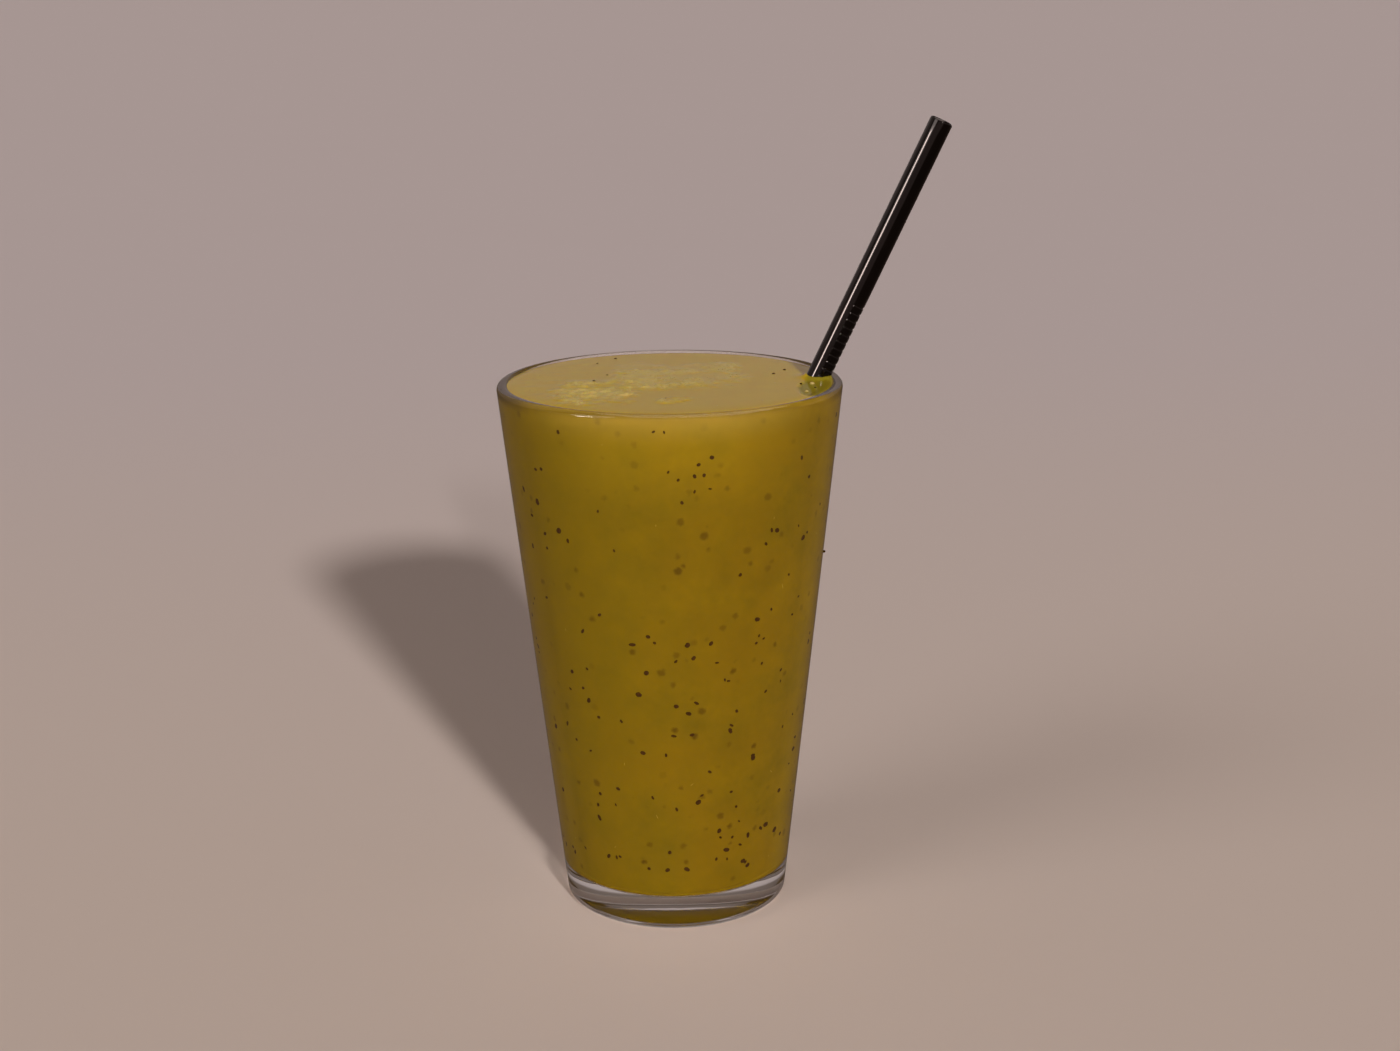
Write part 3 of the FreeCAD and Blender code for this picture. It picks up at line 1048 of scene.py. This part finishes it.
def fruit_group():
    """Blended fruit: cloudy, with warm patches, sunken specks of seed and a greener side that is painted
    shade.
    """
    if "Blended fruit" in bpy.data.node_groups:
        return bpy.data.node_groups["Blended fruit"]
    shades = (*FRUIT_SHADES, "Speck")
    inputs = [(shade, "Color", (0.1, 0.1, 0.1, 1)) for shade in shades]
    tree, start, end = new_group(
        "Blended fruit", [("Vector", "Vector", (0, 0, 0))] + inputs, [("Color", "Color")])
    point = start.outputs["Vector"]
    dark, light, warm, green, speck = [start.outputs[shade] for shade in shades]
    cloud = mottle(tree, point, 11 * MM)
    fine = mottle(tree, point, 2.2 * MM)
    share = maths(tree, "ADD", maths(tree, "MULTIPLY", cloud, 1.9), maths(tree, "MULTIPLY", fine, 0.5))
    colour = mixed(tree, maths(tree, "SUBTRACT", share, 0.7, clamp=True), dark, light)
    patches = mottle(tree, point, 24 * MM)
    colour = mixed(tree, ramp(tree, patches, 0.45, 0.7, end=0.7), colour, warm)
    # Painted shade: greener towards -X, the side turned away from the key light.
    side = ramp(tree, part_of(tree, point, "X"), 10 * MM, -30 * MM, end=0.6)
    colour = mixed(tree, side, colour, green)
    specks = grouped(tree, specks_group(), {
        "Vector": point, "Spacing": 5.2 * MM, "Radius": 0.42 * MM, "Blur": 0.9 * MM})
    colour = mixed(tree, maths(tree, "MULTIPLY", specks, 0.85), colour, speck)
    tree.links.new(colour, end.inputs["Color"])
    return tree


# ---------------------------------------------------------------- materials

def tinted(colour, red, green=None, blue=None):
    """A colour with its parts multiplied, all by red where only that is given."""
    green = red if green is None else green
    blue = red if blue is None else blue
    return (colour[0] * red, colour[1] * green, colour[2] * blue)


def drink_colour(tree, drink, point):
    """The blended fruit's group, with its shades worked out from the body colour."""
    values = {shade: tinted(drink.body_colour, *parts) for shade, parts in FRUIT_SHADES.items()}
    return grouped(tree, fruit_group(), {"Vector": point, "Speck": drink.speck_colour, **values})


def matt(tree, colour, roughness=0.6):
    """A dull surface with no gloss."""
    return add(tree, "BsdfPrincipled", {
        "Base Color": colour, "Roughness": roughness, "Specular IOR Level": 0.0}).outputs[0]


def drink_side_material(drink, glass):
    """Opaque blended fruit against the glass, with no gloss of its own: paler near the level, partly an
    aerated layer and partly painted light, with painted light on its flanks and underside.
    """
    material, tree = new_material("Blended fruit behind glass")
    point = object_point(tree)
    height = part_of(tree, point, "Z")
    level, floor = drink.level, glass.floor_thickness
    # 0 where the drink is seen square on, rising as it turns away behind the curved wall.
    aslant = add(tree, "LayerWeight", {"Blend": 0.5}).outputs["Facing"]
    ahead = ramp(tree, aslant, 0.05, 0.2, 1.0, 0.15)
    # Partly painted light: the upper band and the froth band near the level are paler, mostly where the
    # drink is seen square on.
    painted_upper_light = ramp(tree, height, level - drink.lit_upper_depth, level, end=0.19)
    narrow = ramp(tree, height, level - drink.lit_froth_depth, level, end=0.1, smooth=True)
    # Painted light: the flanks seen at a slant are lightened with the upper colour.
    flank_light = ramp(tree, aslant, 0.1, 0.2, end=0.025)
    painted_flank_light = maths(tree, "ADD", flank_light, ramp(tree, aslant, 0.22, 0.265, end=0.1))
    # Painted light: just above the inner floor the drink is lighter, standing in for light that the thick
    # foot brings under it.
    underside_light = ramp(tree, height, floor + 1.5 * MM, floor, end=0.2)
    colour = drink_colour(tree, drink, point)
    colour = mixed(tree, maths(tree, "MULTIPLY", painted_upper_light, ahead), colour, drink.upper_colour)
    colour = mixed(tree, maths(tree, "MULTIPLY", narrow, ahead), colour, drink.foam_colour)
    colour = mixed(tree, painted_flank_light, colour, drink.upper_colour)
    colour = mixed(tree, underside_light, colour, drink.upper_colour)
    # The glass mirrors inside at a slant, except round the floor's fillet.
    mirror = add(tree, "BsdfAnisotropic", {"Color": (1, 1, 1), "Roughness": 0.0}).outputs[0]
    rim = add(tree, "Fresnel", {"IOR": drink.index / glass.index}).outputs[0]
    fillet = ramp(tree, height, floor + 0.2 * MM, floor + 0.8 * MM)
    wall = ramp(tree, height, floor + 3 * MM, floor + 8 * MM)
    plain = maths(tree, "SUBTRACT", fillet, wall)
    share = maths(tree, "MULTIPLY", rim, maths(tree, "SUBTRACT", 1.0, plain))
    mix = add(tree, "MixShader", {0: share, 1: matt(tree, colour), 2: mirror})
    finish_material(tree, mix.outputs[0])
    return material


def drink_surface_material(drink):
    """The wet surface: glossy where it is smooth, paler and duller where foam floats."""
    material, tree = new_material("Wet blended fruit")
    point = object_point(tree)
    foam = add(tree, "Attribute", attribute_name="foam").outputs["Fac"]
    clear = add(tree, "Attribute", attribute_name="clearing").outputs["Fac"]
    fine = mottle(tree, point, 1.3 * MM)
    share = maths(tree, "MULTIPLY", foam, maths(tree, "ADD", maths(tree, "MULTIPLY", fine, 0.8), 0.4))
    colour = mixed(tree, 0.85, drink_colour(tree, drink, point), drink.upper_colour)
    colour = mixed(tree, share, colour, drink.foam_colour)
    # Partly painted reflection: the clearing is darker and less glossy, standing in for the dark straw
    # mirrored there.
    colour = mixed(tree, clear, colour, drink.clearing_colour)
    gloss = maths(tree, "SUBTRACT", 0.15, maths(tree, "MULTIPLY", clear, 0.12))
    roughness = maths(tree, "ADD", maths(tree, "MULTIPLY", foam, 0.25), 0.06)
    lumps = maths(tree, "MULTIPLY", grain(tree, point, 0.5 * MM), foam)
    bump = add(tree, "Bump", {"Height": lumps, "Strength": 0.5, "Distance": 0.1 * MM})
    shader = add(tree, "BsdfPrincipled", {
        "Base Color": colour, "Roughness": roughness, "IOR": drink.index, "Specular IOR Level": gloss,
        "Normal": bump.outputs[0], "Subsurface Weight": 0.6,
        "Subsurface Radius": (1.0, 0.65, 0.18), "Subsurface Scale": 2.0 * MM})
    finish_material(tree, shader.outputs[0])
    return material


def bubble_material(drink):
    """Thin wet skins over foam."""
    material, tree = new_material("Foam bubbles")
    cloud = mottle(tree, object_point(tree), 3 * MM)
    share = maths(tree, "MULTIPLY", cloud, 0.6)
    colour = mixed(tree, share, tinted(drink.foam_colour, 0.8), tinted(drink.upper_colour, 0.8))
    shader = add(tree, "BsdfPrincipled", {
        "Base Color": colour, "Roughness": 0.2, "IOR": drink.index, "Specular IOR Level": 0.2})
    finish_material(tree, shader.outputs[0])
    return material


def mottled_material(name, size, first, second):
    """A dull finish that varies between two colours."""
    material, tree = new_material(name)
    cloud = mottle(tree, object_point(tree), size)
    finish_material(tree, matt(tree, mixed(tree, cloud, first, second)))
    return material


def seed_material(seeds):
    """Dark brown seed coats, uneven in colour."""
    return mottled_material("Seed coat", 0.8 * MM, seeds.colour, tinted(seeds.colour, 3.2))


def fibre_material(seeds):
    """Pale wet pulp fibres."""
    return mottled_material("Pulp fibre", 1.0 * MM, tinted(seeds.fibre_colour, 0.7), seeds.fibre_colour)


def glass_material(glass):
    """Clear glass. Direct light passes the thin wall, and the thick foot holds much of it back."""
    material, tree = new_material("Clear glass")
    point = object_point(tree)
    height = part_of(tree, point, "Z")
    bump = add(tree, "Bump", {
        "Height": grain(tree, point, 30 * MM), "Strength": 0.15, "Distance": 0.5 * MM})
    # 0 on the wall, 1 on the rounded lip.
    lip = ramp(tree, height, glass.height - 3.2 * MM, glass.height - 1.6 * MM)
    # Painted shade: the rounded lip takes the darker lip shade tint.
    clear = add(tree, "BsdfPrincipled", {
        "Base Color": mixed(tree, lip, glass.tint, glass.lip_shade_tint), "Roughness": 0.0,
        "IOR": glass.index, "Transmission Weight": 1.0,
        "Specular Tint": (glass.gloss, glass.gloss, glass.gloss), "Normal": bump.outputs[0]}).outputs[0]
    # Painted shade: the lip's left and right ends are mixed towards a glow of the dark shade colour,
    # whatever the light.
    sideways = maths(tree, "ABSOLUTE", part_of(tree, point, "X"))
    end = ramp(tree, sideways, glass.rim_radius * 0.8, glass.rim_radius * 0.97, end=glass.lip_shade)
    shade = add(tree, "Emission", {"Color": glass.shade_colour}).outputs[0]
    seen = add(tree, "MixShader", {0: maths(tree, "MULTIPLY", end, lip), 1: clear, 2: shade}).outputs[0]
    # Shadow rays pass straight through. Level faces don't weaken them.
    passed = ramp(tree, height, glass.floor_thickness * 0.9, glass.floor_thickness * 1.1,
                  glass.foot_light, glass.wall_light)
    normal = add(tree, "NewGeometry").outputs["True Normal"]
    level = ramp(tree, maths(tree, "ABSOLUTE", part_of(tree, normal, "Z")), 0.4, 0.6)
    through = add(tree, "BsdfTransparent", {"Color": mixed(tree, level, passed, (1, 1, 1))}).outputs[0]
    path = add(tree, "LightPath")
    lit = add(tree, "MixShader", {0: path.outputs["Is Shadow Ray"], 1: seen, 2: through}).outputs[0]
    # Painted light: after more than three reflections inside, the glass glows with the depth glow colour
    # in place of the light it would carry.
    spent = maths(tree, "GREATER_THAN", path.outputs["Glossy Depth"], 3.5)
    glow = add(tree, "Emission", {"Color": glass.depth_glow_colour}).outputs[0]
    finish_material(tree, add(tree, "MixShader", {0: spent, 1: lit, 2: glow}).outputs[0])
    return material


def steel_material(straw):
    """Dark polished steel with faint handling marks."""
    material, tree = new_material("Dark polished steel")
    smear = mottle(tree, object_point(tree), 9 * MM)
    shader = add(tree, "BsdfPrincipled", {
        "Base Color": mixed(tree, smear, straw.colour, tinted(straw.colour, 1.5, 1.35, 1.3)),
        "Metallic": 1.0, "Roughness": ramp(tree, smear, 0.3, 0.7, 0.05, 0.12)})
    finish_material(tree, shader.outputs[0])
    return material


# ---------------------------------------------------------------- stage

# The floor lies a hair below the foot. These are the radii of its rings, in metres.
FLOOR_HEIGHT = -0.02 * MM
FLOOR_RINGS = (0.2, 1.0, 5.0, 60.0)

# How far the lit panels are from the object, in metres.
PANEL_DISTANCE = 3.0


def direction(azimuth, elevation):
    """The direction towards something seen at an azimuth and elevation in radians."""
    flat = math.cos(elevation)
    return Vector((math.sin(azimuth) * flat, -math.cos(azimuth) * flat, math.sin(elevation)))


def add_sun(name, azimuth, elevation, strength, spread):
    """A distant lamp, its angles in radians."""
    lamp = bpy.data.lights.new(name, "SUN")
    lamp.energy = strength
    lamp.angle = spread
    sun = bpy.data.objects.new(name, lamp)
    towards = direction(azimuth, elevation)
    sun.rotation_euler = towards.to_track_quat("Z", "Y").to_euler()
    sun.location = towards * 2
    bpy.context.scene.collection.objects.link(sun)


def add_panel(name, towards, upwards, size, brightness):
    """A lit panel that only gloss shows: it stands in the direction given and faces the object."""
    width, height = size
    lamp = bpy.data.lights.new(name, "AREA")
    lamp.shape = "RECTANGLE"
    lamp.size, lamp.size_y = size
    lamp.energy = brightness * math.pi * width * height
    lamp.color = (1.0, 0.93, 0.9)
    panel = bpy.data.objects.new(name, lamp)
    back = towards.normalized()
    up = (upwards - back * upwards.dot(back)).normalized()
    turn = Matrix((up.cross(back), up, back)).transposed()
    panel.matrix_world = Matrix.Translation(back * PANEL_DISTANCE) @ turn.to_4x4()
    panel.visible_camera = False
    panel.visible_diffuse = False
    panel.visible_transmission = False
    bpy.context.scene.collection.objects.link(panel)


def floor_material(stage):
    """The pale floor, a little cooler far behind the object."""
    material, tree = new_material("Pale floor")
    share = ramp(tree, part_of(tree, object_point(tree), "Y"), -0.1, 0.9, smooth=True)
    colour = mixed(tree, share, stage.floor_colour, stage.far_colour)
    finish_material(tree, matt(tree, colour, 0.9))
    return material


def build_stage(settings):
    """Floor, background, lights and camera."""
    stage = settings.drink_stage
    scene = bpy.context.scene
    rings = turned([(radius, FLOOR_HEIGHT) for radius in FLOOR_RINGS], 96)
    vertices, faces = skin(rings, (0, 0, FLOOR_HEIGHT))
    mesh = bpy.data.meshes.new("floor")
    mesh.from_pydata(vertices, [], [tuple(reversed(face)) for face in faces])
    floor = bpy.data.objects.new("floor", mesh)
    scene.collection.objects.link(floor)
    floor.visible_glossy = False
    mesh.materials.append(floor_material(stage))
    build_world(stage)
    add_sun("key light", stage.azimuth + math.radians(20), math.radians(23), stage.key, math.radians(4.5))
    add_sun("fill light", stage.azimuth - math.radians(55), math.radians(30), stage.fill, math.radians(30))
    straw_side = Vector((-0.838, -0.444, 0.31))
    along = StrawLine(settings.drink_straw).along
    add_panel("strip light", straw_side, along, (0.45, 1.2), stage.strip)
    add_panel("ceiling light", Vector((0.15, -0.1, 1.0)), Vector((0, 1, 0)), (3.5, 3.5), stage.ceiling)
    left = direction(stage.azimuth - math.radians(120), math.radians(45))
    add_panel("left light", left, Vector((0, 0, 1)), (3.0, 2.5), stage.left)
    build_camera(stage)
    scene.view_settings.view_transform = "Standard"


def build_world(stage):
    """A plain background that metal and glass show too, darker above, and an even light."""
    world = bpy.data.worlds.new("Studio")
    bpy.context.scene.world = world
    world.use_nodes = True
    tree = world.node_tree
    tree.nodes.clear()
    even = add(tree, "Background", {"Color": stage.ambient_colour, "Strength": stage.ambient})
    height = part_of(tree, add(tree, "TexCoord").outputs["Generated"], "Z")
    edge = math.sin(stage.back_top)
    above = ramp(tree, height, edge - 0.05, edge + 0.05, smooth=True)
    below = ramp(tree, height, -0.05, -0.01, 1.0, 0.0)
    colour = mixed(tree, above, stage.back_colour, stage.upper_colour)
    colour = mixed(tree, below, colour, stage.lower_colour)
    seen = add(tree, "Background", {"Color": colour, "Strength": 1.0})
    path = add(tree, "LightPath")
    share = maths(tree, "MAXIMUM", path.outputs["Is Camera Ray"], path.outputs["Is Glossy Ray"])
    share = maths(tree, "MAXIMUM", share, path.outputs["Is Transmission Ray"])
    mix = add(tree, "MixShader", {0: share, 1: even.outputs[0], 2: seen.outputs[0]})
    output = tree.nodes.new("ShaderNodeOutputWorld")
    tree.links.new(mix.outputs[0], output.inputs["Surface"])


def build_camera(stage):
    """The camera, looking down at the glass a little from its left."""
    data = bpy.data.cameras.new("camera")
    data.lens = stage.lens
    data.sensor_width = 36.0
    camera = bpy.data.objects.new("camera", data)
    back = direction(stage.azimuth, stage.elevation)
    right = Vector((math.cos(stage.azimuth), math.sin(stage.azimuth), 0))
    aim = right * stage.aim_side + Vector((0, 0, stage.aim_height))
    up = back.cross(right)
    turn = Matrix((right, up, back)).transposed() @ Matrix.Rotation(-stage.roll, 3, "Z")
    camera.matrix_world = Matrix.Translation(aim + back * stage.distance) @ turn.to_4x4()
    bpy.context.scene.collection.objects.link(camera)
    bpy.context.scene.camera = camera


# ---------------------------------------------------------------- operators

class BuildGlass(bpy.types.Operator):
    """Build the clear tapered glass"""
    bl_idname = "fruit_drink.glass"
    bl_label = "Glass"

    def execute(self, context):
        build_glass(context.scene)
        return {"FINISHED"}


class BuildDrink(bpy.types.Operator):
    """Build the drink up to its level, with its surface"""
    bl_idname = "fruit_drink.drink"
    bl_label = "Drink"

    def execute(self, context):
        build_drink(context.scene)
        return {"FINISHED"}


class BuildFoam(bpy.types.Operator):
    """Scatter bubbles over the foam"""
    bl_idname = "fruit_drink.foam"
    bl_label = "Foam bubbles"

    def execute(self, context):
        build_bubbles(context.scene)
        return {"FINISHED"}


class BuildSeeds(bpy.types.Operator):
    """Scatter seeds and pulp fibres"""
    bl_idname = "fruit_drink.seeds"
    bl_label = "Seeds and pulp"

    def execute(self, context):
        build_seeds(context.scene)
        build_fibres(context.scene)
        return {"FINISHED"}


class BuildStraw(bpy.types.Operator):
    """Build the grooved steel straw"""
    bl_idname = "fruit_drink.straw"
    bl_label = "Straw"

    def execute(self, context):
        build_straw(context.scene)
        return {"FINISHED"}


class BuildStage(bpy.types.Operator):
    """Set up floor, background, lights and camera"""
    bl_idname = "fruit_drink.stage"
    bl_label = "Stage"

    def execute(self, context):
        build_stage(context.scene)
        return {"FINISHED"}


OPERATORS = (BuildStage, BuildGlass, BuildDrink, BuildFoam, BuildSeeds, BuildStraw)


class FruitDrinkPanel(bpy.types.Panel):
    """Lists the pieces that can be built"""
    bl_idname = "VIEW3D_PT_fruit_drink"
    bl_label = "Fruit drink"
    bl_space_type = "VIEW_3D"
    bl_region_type = "UI"
    bl_category = "Fruit drink"

    def draw(self, context):
        for operator in OPERATORS:
            self.layout.operator(operator.bl_idname)


def register():
    """Makes the classes and their settings known."""
    for made in (*SETTINGS.values(), *OPERATORS, FruitDrinkPanel):
        bpy.utils.register_class(made)
    for name, made in SETTINGS.items():
        setattr(bpy.types.Scene, name, PointerProperty(type=made))


def unregister():
    """Takes them away again."""
    for name in SETTINGS:
        delattr(bpy.types.Scene, name)
    for made in reversed((*SETTINGS.values(), *OPERATORS, FruitDrinkPanel)):
        bpy.utils.unregister_class(made)


def main():
    """Builds every piece."""
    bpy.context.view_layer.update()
    register()
    for operator in OPERATORS:
        group, name = operator.bl_idname.split(".")
        getattr(getattr(bpy.ops, group), name)()


if __name__ == "__main__":
    main()
